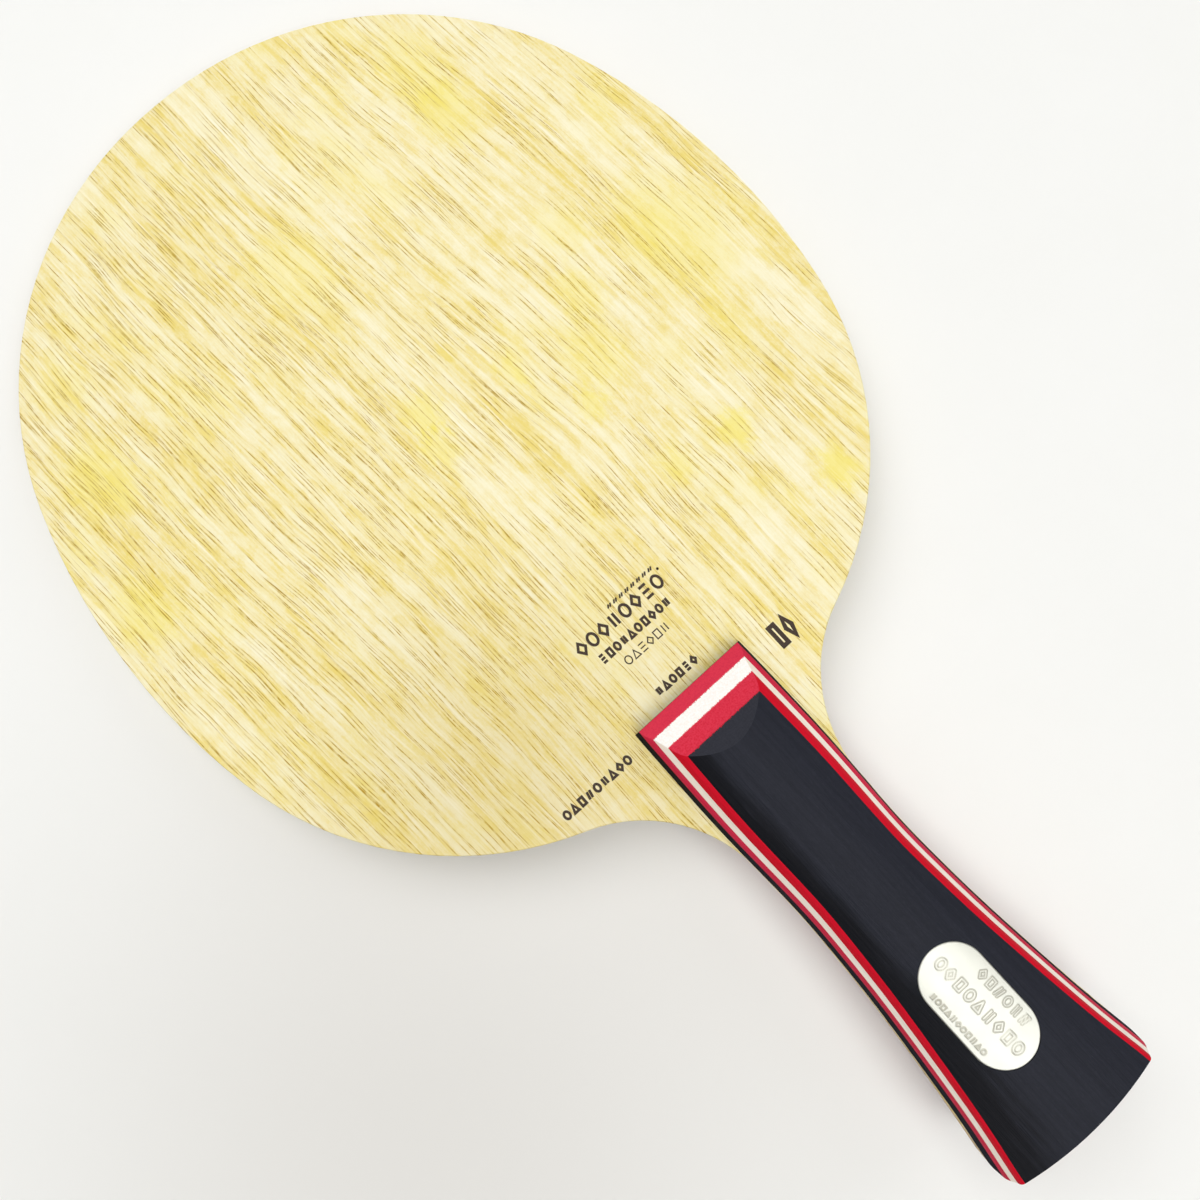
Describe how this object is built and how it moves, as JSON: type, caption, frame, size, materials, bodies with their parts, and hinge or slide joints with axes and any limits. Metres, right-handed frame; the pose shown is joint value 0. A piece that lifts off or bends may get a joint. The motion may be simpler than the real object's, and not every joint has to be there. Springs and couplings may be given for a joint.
{
  "type": "table tennis blade",
  "caption": "Bare laminated wooden table tennis blade with an oval head and a flared striped handle, ready for a rubber sheet on each face.",
  "frame": {"origin": "middle of the blade in length, width and thickness (centre of the bounding box)", "axes": "+Y from the butt of the handle to the tip of the head, +X across the head to the right seen from the front, +Z out of the front face, the one with the badge on its handle scale"},
  "size_m": [0.15, 0.255, 0.024],
  "materials": {
    "pale_veneer": "bare, fine sanded, open grain along the length",
    "carbon_cloth": "woven carbon cloth set in cured resin, sanded edge",
    "inner_wood": "sanded edge, grain along the length",
    "core_wood": "soft light core wood, sanded edge",
    "black_wood": "dyed through, satin, fine grain",
    "red_wood": "dyed through, satin, fine grain",
    "white_wood": "bleached and dyed white, satin",
    "badge_metal": "pearl silver, satin, embossed",
    "clear_adhesive": "cured adhesive film"
  },
  "bodies": {
    "root": {"outer_veneer_front": "pale_veneer", "outer_veneer_back": "pale_veneer", "carbon_ply_front": "carbon_cloth", "carbon_ply_back": "carbon_cloth", "inner_veneer_front": "inner_wood", "inner_veneer_back": "inner_wood", "core_ply": "core_wood", "base_veneer_front": "black_wood", "lower_red_veneer_front": "red_wood", "white_veneer_front": "white_wood", "upper_red_veneer_front": "red_wood", "cap_front": "black_wood", "base_veneer_back": "black_wood", "lower_red_veneer_back": "red_wood", "white_veneer_back": "white_wood", "upper_red_veneer_back": "red_wood", "cap_back": "black_wood", "badge_plate": "badge_metal", "badge_adhesive": "clear_adhesive"}
  },
  "joints": []
}
